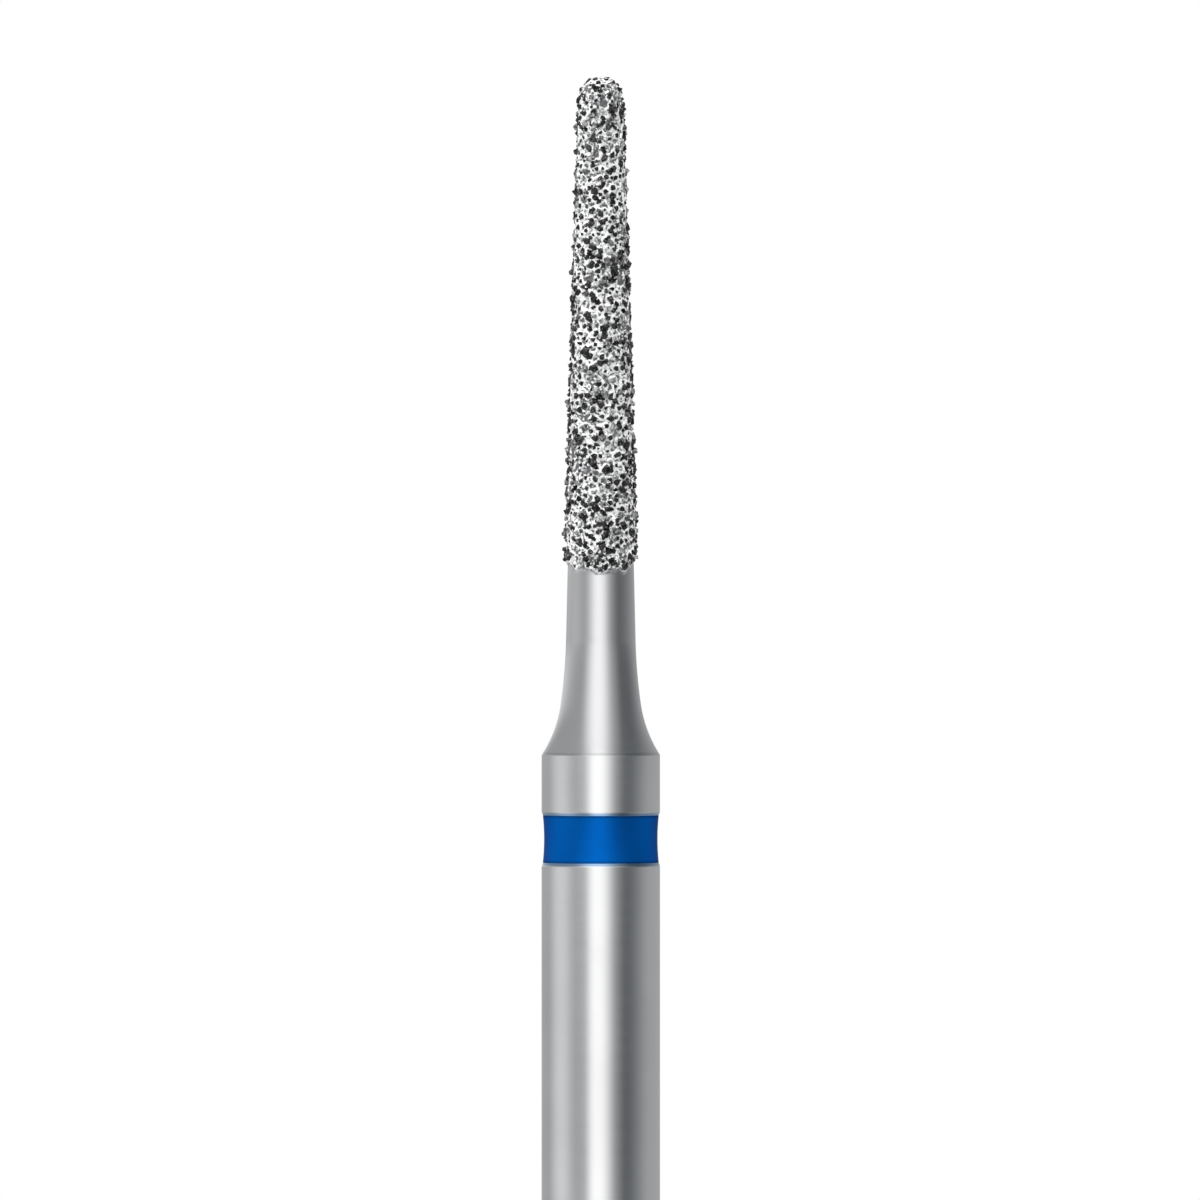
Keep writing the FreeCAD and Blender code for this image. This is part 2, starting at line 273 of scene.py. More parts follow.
# One row stands below the camera's height and mostly lights the shank, the other above it lights the
# neck. The upper row takes over between these two elevations in degrees.
LOWER_PANELS = (
    Panel("key strip", -34, -12, -2, 30, 0.95),
    Panel("dark flag", 14, 50, 44, 110, -0.34),
    Panel("left fill", -124, -86, -80, -46, 0.4),
)
UPPER_PANELS = (
    Panel("wide key strip", -62, -14, -4, 42, 1.02),
    Panel("wide dark flag", 34, 66, 84, 160, -0.3),
    Panel("left rear fill", -200, -190, -150, -66, 0.45, 22),
)
UPPER_FROM, UPPER_FULL = -0.4, 2.6

# A panel whose angles are taken either way round from the camera's side
BACK_STRIP = Panel("back strip", 164, 178, 181, 190, 0.8)

# The light overhead and the bounce from below, the elevations in degrees where each begins and is
# full, and the share of the other light that the bounce stands in for
OVERHEAD_BRIGHTNESS = 2.3
OVERHEAD_FROM, OVERHEAD_FULL = 62, 72
BOUNCE_BRIGHTNESS = 0.5
BOUNCE_FROM, BOUNCE_FULL = -38, -60
BOUNCE_SHARE = 0.55


# Shader maths and nodes

class Field:
    """A number that changes from place to place. Operators on it add Math nodes."""

    def __init__(self, shader, socket):
        self.shader = shader
        self.socket = socket

    def __add__(self, other):
        return self.shader.maths("ADD", self, other)

    def __sub__(self, other):
        return self.shader.maths("SUBTRACT", self, other)

    def __rsub__(self, other):
        return self.shader.maths("SUBTRACT", other, self)

    def __mul__(self, other):
        return self.shader.maths("MULTIPLY", self, other)

    def __abs__(self):
        return self.shader.maths("ABSOLUTE", self)

    __radd__ = __add__
    __rmul__ = __mul__


class Shader:
    """The node tree of a material or of the world."""

    def __init__(self, owner):
        owner.use_nodes = True
        self.tree = owner.node_tree
        self.tree.nodes.clear()

    def node(self, kind, settings, values):
        """Add a node, set it up, and give its sockets values or links."""
        made = self.tree.nodes.new(kind)
        for name, setting in settings.items():
            setattr(made, name, setting)
        for name, value in values.items():
            self.feed(made.inputs[name], value)
        return made

    def feed(self, socket, value):
        """Set a socket to a value, or link a field or another socket to it."""
        source = value.socket if isinstance(value, Field) else value
        if isinstance(source, bpy.types.NodeSocket):
            self.tree.links.new(source, socket)
        else:
            socket.default_value = source

    def field(self, node, output):
        """An output of a node, ready for use in an expression."""
        return Field(self, node.outputs[output])

    def maths(self, operation, *values):
        """The result of one Math node."""
        node = self.node("ShaderNodeMath", {"operation": operation}, dict(enumerate(values)))
        return self.field(node, 0)

    def place(self, kind):
        """A texture coordinate as a vector socket."""
        return self.node("ShaderNodeTexCoord", {}, {}).outputs[kind]

    def parts(self, vector):
        """The three numbers of a vector."""
        split = self.node("ShaderNodeSeparateXYZ", {}, {0: vector})
        return [self.field(split, axis) for axis in "XYZ"]

    def between(self, value, start, end):
        """0 up to start, 1 from end on, and smooth between them. End may be the lower one."""
        settings = {"interpolation_type": "SMOOTHSTEP", "clamp": True}
        values = {"Value": value, "From Min": start, "From Max": end}
        return self.field(self.node("ShaderNodeMapRange", settings, values), "Result")

    def band(self, value, starts, full, fades, gone):
        """1 between full and fades, and 0 up to starts and from gone on."""
        risen = self.between(value, starts, full)
        return risen * (1 - self.between(value, fades, gone))

    def noise(self, vector, scale, detail=2.0, roughness=0.5):
        """Soft noise about 0.5. A scale of three numbers stretches it."""
        if isinstance(scale, tuple):
            vector = self.node("ShaderNodeMapping", {}, {"Vector": vector, "Scale": scale}).outputs[0]
            scale = 1.0
        values = {"Vector": vector, "Scale": scale, "Detail": detail, "Roughness": roughness}
        return self.field(self.node("ShaderNodeTexNoise", {}, values), "Fac")

    def cells(self, vector, scale):
        """Distance from the middle of the nearest cell, in cell widths."""
        cell = self.node("ShaderNodeTexVoronoi", {}, {"Vector": vector, "Scale": scale})
        return self.field(cell, "Distance")

    def cell_tone(self, vector, scale):
        """A tone by chance for each cell, from 0 to 1."""
        cell = self.node("ShaderNodeTexVoronoi", {}, {"Vector": vector, "Scale": scale})
        return self.parts(cell.outputs["Color"])[0]

    def attribute(self, name):
        """A number kept with the mesh."""
        return self.field(self.node("ShaderNodeAttribute", {"attribute_name": name}, {}), "Fac")

    def mix(self, mask, first, second):
        """The first colour where mask is 0 and the second where it is 1."""
        settings = {"data_type": "RGBA", "clamp_factor": True}
        return self.node("ShaderNodeMix", settings, {0: mask, 6: first, 7: second}).outputs[2]

    def bump(self, height, distance):
        """A normal for a height that runs from 0 to 1 over the distance."""
        return self.node("ShaderNodeBump", {}, {"Height": height, "Distance": distance}).outputs[0]

    def surface(self, values):
        """End a material in a Principled shader."""
        finish = self.node("ShaderNodeBsdfPrincipled", {}, values)
        self.node("ShaderNodeOutputMaterial", {}, {"Surface": finish.outputs[0]})


# Materials

def opaque(tint):
    """A colour with full alpha."""
    return (*tint, 1.0)


def new_material(name):
    """A material and the shader that it's made with."""
    material = bpy.data.materials.new(name)
    return material, Shader(material)


def steel_material(sizes):
    """Ground steel, with fine marks round the axis. The turned neck is a little rougher, and darker partly
    for its finish and partly as painted shade. The collar's broken upper edge is darkened as painted shade.
    """
    material, shader = new_material("ground_steel")
    place = shader.place("Object")
    height = shader.parts(place)[2]
    fine = shader.noise(place, FINE_MARKS, detail=3.0, roughness=0.6)
    broad = shader.noise(place, BROAD_MARKS)
    clouds = shader.noise(place, STEEL_CLOUDS)
    neck = shader.between(height, sizes.collar_face - sizes.collar_edge_rise, sizes.collar_face)
    # The neck's colour holds painted shade as well as its duller finish.
    steel = shader.mix(neck, opaque(sizes.tint), opaque(sizes.neck_finish_and_shade_tint))
    steel = shader.mix(shader.between(clouds, 0.35, 0.75) * 0.5, steel, opaque(sizes.neck_finish_and_shade_tint))
    # Painted shade on the collar's broken upper edge.
    steel = shader.mix(collar_edge_shade(shader, height, sizes), steel, opaque(sizes.edge_shade_tint))
    steel = shader.mix(near_ring(shader, height, sizes), steel, opaque(sizes.film_tint))
    marks = fine * (0.6 + neck * 0.4) + broad * 0.4
    shader.surface({
        "Base Color": steel,
        "Metallic": 1.0,
        "Roughness": sizes.roughness + fine * 0.05 + broad * 0.05 + neck * 0.02,
        "Anisotropic": sizes.brushing,
        "Normal": shader.bump(marks, sizes.mark_depth),
    })
    return material


def collar_edge_shade(shader, height, sizes):
    """1 on the broken edge of the collar, where shade is painted."""
    top = sizes.collar_face
    foot = top - sizes.collar_edge_rise
    soft = sizes.edge_rounding / 2
    return shader.band(height, foot - soft, foot + soft, top - soft, top + soft)


def near_ring(shader, height, sizes):
    """1 on the groove's bevels, where a thin film of lacquer clings."""
    margin = sizes.groove_margin
    low, high = RING_LOW.z, RING_HIGH.z
    return shader.band(height, low - margin, low - margin / 2, high + margin / 2, high + margin)


def lacquer_material(sizes):
    """Clear blue lacquer over steel, deeper in colour towards both edges."""
    material, shader = new_material("ring_lacquer")
    place = shader.place("Object")
    height = shader.parts(place)[2]
    streaks = shader.noise(place, LACQUER_STREAKS)
    clouds = shader.noise(place, LACQUER_CLOUDS)
    low = shader.between(height, RING_LOW.z + sizes.rim, RING_LOW.z)
    high = shader.between(height, RING_HIGH.z - sizes.rim, RING_HIGH.z)
    deep = (low + high) * 0.75 + shader.between(clouds, 0.4, 0.8) * 0.15
    shader.surface({
        "Base Color": shader.mix(deep, opaque(sizes.tint), opaque(sizes.deep_tint)),
        "Metallic": sizes.shine,
        "Roughness": sizes.roughness + streaks * 0.08,
        "Specular IOR Level": sizes.gloss,
        "Specular Tint": opaque(sizes.glance_tint),
        "Normal": shader.bump(streaks + clouds, sizes.ripple),
    })
    return material


def nickel_material(sizes, steel):
    """Plated nickel, finely nodular where it holds grains and smooth on the bare margin. A dark colour is
    painted shade in the hollows between grains, and it also gives dark patches and flecks at random.
    """
    material, shader = new_material("plated_nickel")
    place = shader.place("Object")
    covered = shader.attribute("covered")
    grainy = shader.noise(place, NICKEL_GRAIN, detail=3.0, roughness=0.65)
    nodules = shader.cells(place, NICKEL_NODULES)
    # Painted shade: the nickel takes a dark colour where it hangs slack between grains, mixed with dark
    # patches and flecks at random.
    slack = 1 - shader.between(shader.attribute("climbed"), 0.2, 0.8)
    patches = shader.between(shader.noise(place, NICKEL_PATCHES), 0.45, 0.65)
    hollow = slack * 0.3 + patches * 0.25 + shader.cell_tone(place, NICKEL_FLECKS) * 0.6
    shaded = shader.between(hollow, 0.33, 0.72)
    plate = shader.mix(shaded, opaque(sizes.nickel_tint), opaque(sizes.shade_and_fleck_tint))
    shader.surface({
        # The bare margin takes the neck's colour, painted shade included.
        "Base Color": shader.mix(covered, opaque(steel.neck_finish_and_shade_tint), plate),
        "Metallic": 1.0 - covered * 0.5,
        "Roughness": sizes.nickel_roughness + covered * (0.02 + grainy * 0.2),
        "Normal": shader.bump((grainy * 0.4 - nodules) * covered, sizes.nodule_height),
    })
    return material


def diamond_material(sizes):
    """Glassy grains that run from nearly black to pale, with flaws that show on their faces."""
    material, shader = new_material("diamond_grains")
    flaws = shader.noise(shader.place("Object"), DIAMOND_FLAWS, detail=3.0)
    clouded = 0.3 + shader.between(flaws, 0.35, 0.65) * 1.1
    paleness = shader.attribute("tone") * clouded + shader.between(flaws, 0.58, 0.7) * 0.15
    shader.surface({
        "Base Color": shader.mix(paleness, opaque(sizes.dark_tint), opaque(sizes.pale_tint)),
        "Roughness": sizes.grain_roughness + flaws * 0.16,
        "IOR": sizes.grain_index,
        "Normal": shader.bump(flaws, sizes.flaw_height),
    })
    return material


# Turned pieces

def arc(start, end, turn, count):
    """Points after start up to end on an arc that turns right by so many degrees."""
    start, end = np.array(start), np.array(end)
    chord = end - start
    half = math.radians(turn) / 2
    centre = (start + end) / 2 + np.array((chord[1], -chord[0])) / (2 * math.tan(half))
    spoke = start - centre
    points = []
    for step in range(1, count + 1):
        swing = -2 * half * step / count
        across = spoke[0] * math.cos(swing) - spoke[1] * math.sin(swing)
        along = spoke[0] * math.sin(swing) + spoke[1] * math.cos(swing)
        points.append((centre[0] + across, centre[1] + along))
    return points


def rounded(before, corner, after, radius):
    """Points that round a corner of an outline, so that its shading turns smoothly."""
    before, corner, after = (np.array(point) for point in (before, corner, after))
    inward, outward = corner - before, after - corner
    inward /= np.linalg.norm(inward)
    outward /= np.linalg.norm(outward)
    turn = math.atan2(inward[1] * outward[0] - inward[0] * outward[1], inward @ outward)
    back = radius * abs(math.tan(turn / 2))
    start, end = corner - inward * back, corner + outward * back
    return [tuple(start), *arc(start, end, math.degrees(turn), EDGE_POINTS)]


def steel_outline(sizes):
    """Half section of the blank, from the middle of its end face to the end of its core."""
    shank, edge = sizes.shank_radius, sizes.edge_rounding
    floor = shank - sizes.groove_depth
    face = sizes.collar_face
    flare_top = face + sizes.flare_height
    flare_radius = sizes.neck_radius + (SHOULDER - flare_top) * math.tan(sizes.neck_taper)
    foot = (flare_radius + sizes.upper_flare_rise, face + sizes.flare_foot)
    crest = (shank - sizes.collar_edge, face)
    lower_flare = arc(crest, foot, LOWER_FLARE_TURN, ARC_POINTS)
    corners = [
        (0, BLANK_LOW.z),
        (shank - sizes.end_chamfer, BLANK_LOW.z),
        (shank, BLANK_LOW.z + sizes.end_chamfer),
        (shank, RING_LOW.z - sizes.groove_margin),
        (sizes.lip_radius, RING_LOW.z),
        (floor, RING_LOW.z),
        (floor, RING_HIGH.z),
        (sizes.lip_radius, RING_HIGH.z),
        (shank, RING_HIGH.z + sizes.groove_margin),
        (shank, face - sizes.collar_edge_rise),
        crest,
        lower_flare[0],
    ]
    outline = [corners[0]]
    for before, corner, after in zip(corners, corners[1:], corners[2:]):
        outline += rounded(before, corner, after, edge)
    outline += lower_flare
    outline += arc(foot, (flare_radius, flare_top), UPPER_FLARE_TURN, ARC_POINTS)
    neck, inset, *end = core_outline(sizes, ARC_POINTS)
    outline += rounded((flare_radius, flare_top), neck, inset, edge)
    outline += rounded(neck, inset, end[0], edge)
    return outline + end


def core_outline(sizes, count):
    """Section of the core: the neck's end, the shoulder's inner corner and the round end."""
    rim = (sizes.core_tip, BLANK_HIGH.z - sizes.core_tip)
    round_end = arc(rim, (0, BLANK_HIGH.z), ROUND_END_TURN, count)
    return [(sizes.neck_radius, SHOULDER), (sizes.core_radius, SHOULDER), rim, *round_end]


def ring_outline(sizes, steel):
    """Closed section of the ring, which fills the groove and has a hollow face."""
    half = (RING_HIGH.z - RING_LOW.z) / 2
    turn = 4 * math.degrees(math.atan(sizes.dip / half))
    floor = steel.shank_radius - steel.groove_depth
    low_floor, high_floor = (floor, RING_LOW.z), (floor, RING_HIGH.z)
    low_lip, high_lip = (steel.lip_radius, RING_LOW.z), (steel.lip_radius, RING_HIGH.z)
    face = arc(low_lip, high_lip, turn, ARC_POINTS)
    outline = [low_floor, *rounded(low_floor, low_lip, face[0], sizes.lip_rounding)]
    outline += face[1:-1]
    return outline + [*rounded(face[-2], high_lip, high_floor, sizes.lip_rounding), high_floor]


def circle(radius, height, turns):
    """Points at these turns round the axis."""
    return [(radius * math.cos(turn), radius * math.sin(turn), height) for turn in turns]


def outline_normals(points, closed):
    """Direction in which each point of an outline faces. A closed one ends on its first point."""
    steps = np.diff(points, axis=0)
    sides = np.column_stack((steps[:, 1], -steps[:, 0]))
    facing = np.vstack((sides[:1], sides[:-1] + sides[1:], sides[-1:]))
    if closed:
        facing[0] = facing[-1] = sides[0] + sides[-1]
    return facing / np.linalg.norm(facing, axis=1)[:, None]


def turned_mesh(name, outline, closed=False):
    """Turn an outline round the axis, with the outline's own normals and a map that unrolls it."""
    points = np.array(outline + outline[:1] if closed else outline)
    lengths = np.linalg.norm(np.diff(points, axis=0), axis=1)
    along = np.concatenate(([0], np.cumsum(lengths)))
    turns = 2 * math.pi * np.arange(TURNED_SIDES) / TURNED_SIDES

    mesh = bmesh.new()
    rings = [turned_ring(mesh, radius, height, turns) for radius, height in points]
    unrolled = mesh.loops.layers.uv.new("OFBake")
    for row, (lower, upper) in enumerate(zip(rings, rings[1:])):
        for side in range(TURNED_SIDES):
            turned_face(mesh, unrolled, lower, upper, side, along[row:row + 2] / along[-1])
    mesh.verts.index_update()
    normals = np.zeros((len(mesh.verts), 3))
    for ring, (out, up) in zip(rings, outline_normals(points, closed)):
        for vertex, normal in zip(ring, circle(out, up, turns)):
            normals[vertex.index] = normal
        if len(ring) == 1:
            normals[ring[0].index] = (0, 0, math.copysign(1, up))
    data = bpy.data.meshes.new(name)
    mesh.to_mesh(data)
    mesh.free()
    data.shade_smooth()
    data.normals_split_custom_set_from_vertices(normals)
    return data


def turned_ring(mesh, radius, height, turns):
    """One circle of vertices, or a single one on the axis."""
    if radius < MICRON / 10:
        return [mesh.verts.new((0, 0, height))]
    return [mesh.verts.new(point) for point in circle(radius, height, turns)]


def turned_face(mesh, unrolled, lower, upper, side, along):
    """One facet between two circles, with its place on the unrolled map."""
    corners = []
    for ring, steps, row in ((lower, (0, 1), 0), (upper, (1, 0), 1)):
        used = steps if len(ring) > 1 else (0.5,)
        for step in used:
            vertex = ring[int(side + step) % len(ring)]
            corners.append((vertex, ((side + step) / TURNED_SIDES, along[row])))
    face = mesh.faces.new([vertex for vertex, spot in corners])
    for loop, (vertex, spot) in zip(face.loops, corners):
        loop[unrolled].uv = spot


# The grains and the nickel

class Head:
    """The nickel's form: a cone that runs smoothly into a dome, measured by distance from the tip."""

    def __init__(self, sizes):
        self.tip = sizes.tip_radius
        self.centre = SHOULDER + sizes.head_length - self.tip
        rise = self.centre - SHOULDER
        span = math.hypot(sizes.base_radius, rise)
        self.taper = math.acos(self.tip / span) - math.atan2(rise, sizes.base_radius)
        self.steepest = math.pi / 2 - self.taper
        self.dome_way = self.tip * self.steepest
        self.rim = (self.tip * math.cos(self.taper), self.centre + self.tip * math.sin(self.taper))
        self.way = self.dome_way + (self.rim[1] - SHOULDER) / math.cos(self.taper)

    def at(self, way):
        """Radius, height and slant from +Z of the surface, so far down from the tip."""
        if way < self.dome_way:
            slant = way / self.tip
            return self.tip * math.sin(slant), self.centre + self.tip * math.cos(slant), slant
        down = way - self.dome_way
        radius = self.rim[0] + down * math.sin(self.taper)
        return radius, self.rim[1] - down * math.cos(self.taper), self.steepest

    def spot(self, way, turn):
        """Place and outward direction of a point of the surface."""
        radius, height, slant = self.at(way)
        around = Vector((math.cos(turn), math.sin(turn), 0))
        place = around * radius + Vector((0, 0, height))
        return place, around * math.sin(slant) + Vector((0, 0, math.cos(slant)))


Grain = namedtuple("Grain", "seat outward half_width lift tone")


def random_seat(head, chance, widest):
    """A point of the surface by chance, every patch of it being as likely as its area."""
    while True:
        way = chance.uniform(0, head.way)
        if chance.uniform(0, widest) < head.at(way)[0]:
            return head.spot(way, chance.uniform(0, 2 * math.pi))


def lay_grains(sizes):
    """Seats of all grains: each takes the one of a few trial seats that lies farthest from the others."""
    head = Head(sizes)
    chance = random.Random(sizes.seed)
    slope = head.way - head.dome_way
    area = 2 * math.pi * head.tip ** 2 * (1 - math.sin(head.taper))
    area += math.pi * (sizes.base_radius + head.rim[0]) * slope
    patch = sizes.grain_pitch ** 2 * math.sqrt(3) / 2
    count = int(area / patch)
    seats = np.zeros((0, 3))
    spots = []
    for number in range(count):
        trials = [random_seat(head, chance, sizes.base_radius) for trial in range(SEAT_TRIALS)]
        if number:
            nearest = [np.min(np.sum((seats - np.array(seat)) ** 2, axis=1)) for seat, outward in trials]
            seat, outward = trials[int(np.argmax(nearest))]
        else:
            seat, outward = trials[0]
        seats = np.vstack((seats, seat))
        spots.append((seat, outward))
    return [grain_at(sizes, head, chance, seat, outward) for seat, outward in spots
            if above_edge(sizes, seat) > 0]


def above_edge(sizes, seat):
    """Height of a point above the sloping line where the grains end, which is lowest at the front."""
    rearward = seat.y / max(math.hypot(seat.x, seat.y), MICRON)
    return seat.z - SHOULDER - sizes.edge_height - sizes.edge_slope * rearward


def grain_at(sizes, head, chance, seat, outward):
    """A grain of chance size, height and tone. Strays stand well out, and they and some others are pale.

    On the dome the grains are smaller and all equally high, so that the end stays round.
    """
    half_width = sizes.grain_size / 2 * chance.triangular(*GRAIN_WIDTHS)
    lift = sizes.grain_rise + chance.uniform(*GRAIN_LIFTS) * MICRON
    stray = chance.random() < sizes.stray_share
    if stray:
        lift += chance.uniform(*STRAY_LIFTS) * MICRON
    tone = chance.uniform(*DARK_TONES)
    if stray or chance.random() < sizes.pale_share:
        tone = chance.uniform(*PALE_TONES)
    if seat.z > head.rim[1]:
        half_width = min(half_width, sizes.dome_grain)
        lift = sizes.grain_rise
    return Grain(seat, outward, half_width, lift, tone)


def grain_form(chance):
    """Corners and faces of a blunt crystal about one unit in half width."""
    mesh = bmesh.new()
    for corner in range(GRAIN_CORNERS):
        height = 1 - 2 * (corner + 0.5) / GRAIN_CORNERS
        flat = math.sqrt(1 - height ** 2)
        turn = corner * GOLDEN_ANGLE
        point = Vector((flat * math.cos(turn), flat * math.sin(turn), height))
        point += Vector([chance.uniform(*CORNER_MOVES) for axis in range(3)])
        mesh.verts.new(point.normalized() * chance.uniform(*CORNER_REACHES))
    hull = bmesh.ops.convex_hull(mesh, input=mesh.verts)
    bmesh.ops.delete(mesh, geom=hull["geom_interior"], context="VERTS")
    mesh.verts.index_update()
    corners = np.array([vertex.co for vertex in mesh.verts])
    faces = [[vertex.index for vertex in face.verts] for face in mesh.faces]
    mesh.free()
    return corners, faces


def grain_mesh(sizes, grains):
    """All grains in one mesh, each a form by chance that is stretched and turned, with its tone."""
    chance = random.Random(sizes.seed + 1)
    forms = [grain_form(chance) for form in range(GRAIN_FORMS)]
    corners, faces, tones = [], [], []
    for grain in grains:
        form, sides = chance.choice(forms)
        stretch = np.array([chance.uniform(*FORM_STRETCHES) for axis in range(3)])
        turn = np.array(random_turn(chance))
        middle = np.array(grain.seat + grain.outward * grain.lift)
        first = len(corners)
        corners += ((form * stretch) @ turn.T * grain.half_width + middle).tolist()
        faces += [[first + corner for corner in side] for side in sides]
        tones += [grain.tone] * len(form)
    data = bpy.data.meshes.new("diamond_grains")
    data.from_pydata(corners, [], faces)
    keep(data, "tone", tones)
    return data


def keep(data, name, values):
    """Keep a number for each corner with the mesh, for its material."""
    data.attributes.new(name, "FLOAT", "POINT").data.foreach_set("value", values)


def random_turn(chance):
    """A turn in space by chance."""
    axis = Vector([chance.gauss(0, 1) for part in range(3)])
    return Matrix.Rotation(chance.uniform(0, 2 * math.pi), 3, axis)


def seat_tree(grains):
    """The grains' seats, sorted so that the nearest are quickly found."""
    tree = KDTree(len(grains))
    for number, grain in enumerate(grains):
        tree.insert(grain.seat, number)
    tree.balance()
    return tree


def nickel_rise(sizes, tree, grains, point):
    """How far the nickel has climbed the nearest grains at a point, from 0 to 1."""
    bare = 1.0
    for seat, number, distance in tree.find_n(point, NEAR_GRAINS):
        away = max(distance - grains[number].half_width * FLANK_SHARE, 0) / sizes.reach
        bare *= 1 - math.exp(-away ** 2)
    return 1 - bare


def margin_cover(sizes, seat):
    """1 among the grains, falling to 0 just below the sloping line where they end."""
    return min(1.0, max(0.0, 0.5 + above_edge(sizes, seat) / sizes.edge_fade))


def plate_surface(sizes, steel, head, grains, turns):
    """Corners of the nickel's outer surface from the tip down, its climb at each and how far it covers.

    It climbs the flank of every grain, hangs slack between them, and thins out below the lowest.
    """
    tree = seat_tree(grains)
    step = sizes.base_radius - steel.neck_radius - sizes.edge_thickness
    places, climbs, covers = [], [], []
    for row in range(NICKEL_ROWS + 1):
        way = (head.way + sizes.lap) * row / NICKEL_ROWS
        for turn in turns if row else (0,):
            seat, outward = head.spot(way, turn)
            rise = nickel_rise(sizes, tree, grains, seat)
            plated = margin_cover(sizes, seat)
            sunk = step * (1 - plated) ** 2 * (1 + 2 * plated)
            places.append(seat + outward * (sizes.climb * rise - sunk))
            climbs.append(rise)
            covers.append(max(rise, plated))
    return places, climbs, covers


def nickel_mesh(sizes, steel, grains):
    """The plate as a closed skin: its outer surface, and inside it the bore that lies on the steel."""
    head = Head(sizes)
    turns = [2 * math.pi * side / NICKEL_SIDES for side in range(NICKEL_SIDES)]
    places, climbs, covers = plate_surface(sizes, steel, head, grains, turns)
    bore = bore_outline(sizes, steel)
    places += places[-NICKEL_SIDES:]
    for radius, height in bore[:-1]:
        places += circle(radius, height, turns)
    places.append((0, 0, bore[-1][1]))
    bare = [0.0] * (len(places) - len(climbs))
    faces, spots = nickel_faces(NICKEL_ROWS + len(bore))
    data = bpy.data.meshes.new("plated_nickel")
    data.from_pydata(places, [], faces)
    keep(data, "climbed", climbs + bare)
    keep(data, "covered", covers + bare)
    data.uv_layers.new(name="OFBake").data.foreach_set("uv", np.ravel(spots))
    data.shade_smooth()
    return data


def bore_outline(sizes, steel):
    """Section of the steel under the nickel, from the plate's foot up to the end of the core."""
    foot = (steel.neck_radius + sizes.lap * math.tan(steel.neck_taper), SHOULDER - sizes.lap)
    return [foot, *core_outline(steel, BORE_POINTS)]


def nickel_faces(rings):
    """Facets from the tip over all rings of corners to the end of the bore, and a map that unrolls them.

    The bore starts on the plate's last ring again, with corners of its own, so that the shading of the
    outer surface stays smooth down to its edge.
    """
    faces, spots = [], []
    for row in range(rings + 1):
        if row == NICKEL_ROWS:
            continue
        upper = 1 + (row - 1) * NICKEL_SIDES
        lower = upper + NICKEL_SIDES
        for side in range(NICKEL_SIDES):
            after = (side + 1) % NICKEL_SIDES
            above = [(upper + side, side, row), (upper + after, side + 1, row)]
            below = [(lower + side, side, row + 1), (lower + after, side + 1, row + 1)]
            if row == 0:
                above = [(0, side + 0.5, row)]
            if row == rings:
                below = [(lower, side + 0.5, row + 1)]
            corners = above[:1] + below + above[1:]
            faces.append([number for number, across, down in corners])
            spots += [(across / NICKEL_SIDES, 1 - down / (rings + 1)) for number, across, down in corners]
    return faces, spots


# Operators for the pieces

def add(name, data):
    """Put an object into the scene."""
    made = bpy.data.objects.new(name, data)
    bpy.context.scene.collection.objects.link(made)
    return made


def show(data, material):
    """Put a mesh into the scene as a piece that rides on the one body."""
    data.materials.append(material)
    piece = add(data.name, data)
    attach(piece, "root")
    return piece


class MakeSteel(bpy.types.Operator):
    """Turn the steel blank: shank, collar, flared neck and core."""

    bl_idname = "bur.make_steel"
    bl_label = "Make steel blank"

    def execute(self, context):
        sizes = context.scene.bur_steel
        turned = turned_mesh("turned_blank", steel_outline(sizes))
        piece = show(turned, steel_material(sizes))
        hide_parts("steel_blank")
        return {"FINISHED"}


class MakeRing(bpy.types.Operator):
    """Fill the groove with the lacquer ring, whose face is hollow."""

    bl_idname = "bur.make_ring"
    bl_label = "Make lacquer ring"

    def execute(self, context):
        sizes, steel = context.scene.bur_ring, context.scene.bur_steel
        turned = turned_mesh("lacquer_ring", ring_outline(sizes, steel), closed=True)
        piece = show(turned, lacquer_material(sizes))
        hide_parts("colour_ring")
        return {"FINISHED"}


class MakeHead(bpy.types.Operator):
    """Plate the head with nickel and set its diamond grains."""

    bl_idname = "bur.make_head"
    bl_label = "Make head"

    def execute(self, context):
        sizes, steel = context.scene.bur_head, context.scene.bur_steel
        grains = lay_grains(sizes)
        plate = show(nickel_mesh(sizes, steel, grains), nickel_material(sizes, steel))
        diamonds = show(grain_mesh(sizes, grains), diamond_material(sizes))
        for piece in (plate, diamonds):
            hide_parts("diamond_coating")
        return {"FINISHED"}


# The stage

class MakeStage(bpy.types.Operator):
    """Lay the floor, hang the lamps, and set up the surroundings and the camera."""

    bl_idname = "bur.make_stage"
    bl_label = "Make stage"

    def execute(self, context):
        sizes = context.scene.bur_stage
        lay_floor(sizes)
        hang_lamp(sizes, "left_lamp", sizes.left_lamp, -sizes.lamp_bearing)
        hang_lamp(sizes, "right_lamp", sizes.right_lamp, sizes.lamp_bearing)
        context.scene.world = studio(sizes)
        context.scene.camera = new_camera(sizes)
        context.scene.view_settings.view_transform = "Standard"
        return {"FINISHED"}


def lay_floor(sizes):
    """A plain pale floor. It glows evenly, as bright as the backdrop, so no horizon shows behind the bur.

    Only the camera sees it, because the surroundings already hold its bounce.
    """
    material, shader = new_material("pale_floor")
    material.cycles.emission_sampling = "NONE"
    shader.surface({
        "Base Color": opaque((0.0, 0.0, 0.0)),
        "Specular IOR Level": 0.0,
        "Emission Color": opaque(sizes.floor_tint),
        "Emission Strength": 1.0,
    })
    half = sizes.floor_width / 2
    data = bpy.data.meshes.new("floor")
    corners = [(-half, -half, 0), (half, -half, 0), (half, half, 0), (-half, half, 0)]
    data.from_pydata(corners, [], [range(len(corners))])
    data.materials.append(material)
    floor = add("floor", data)
    floor.visible_diffuse = floor.visible_glossy = False
    floor.visible_transmission = floor.visible_shadow = False


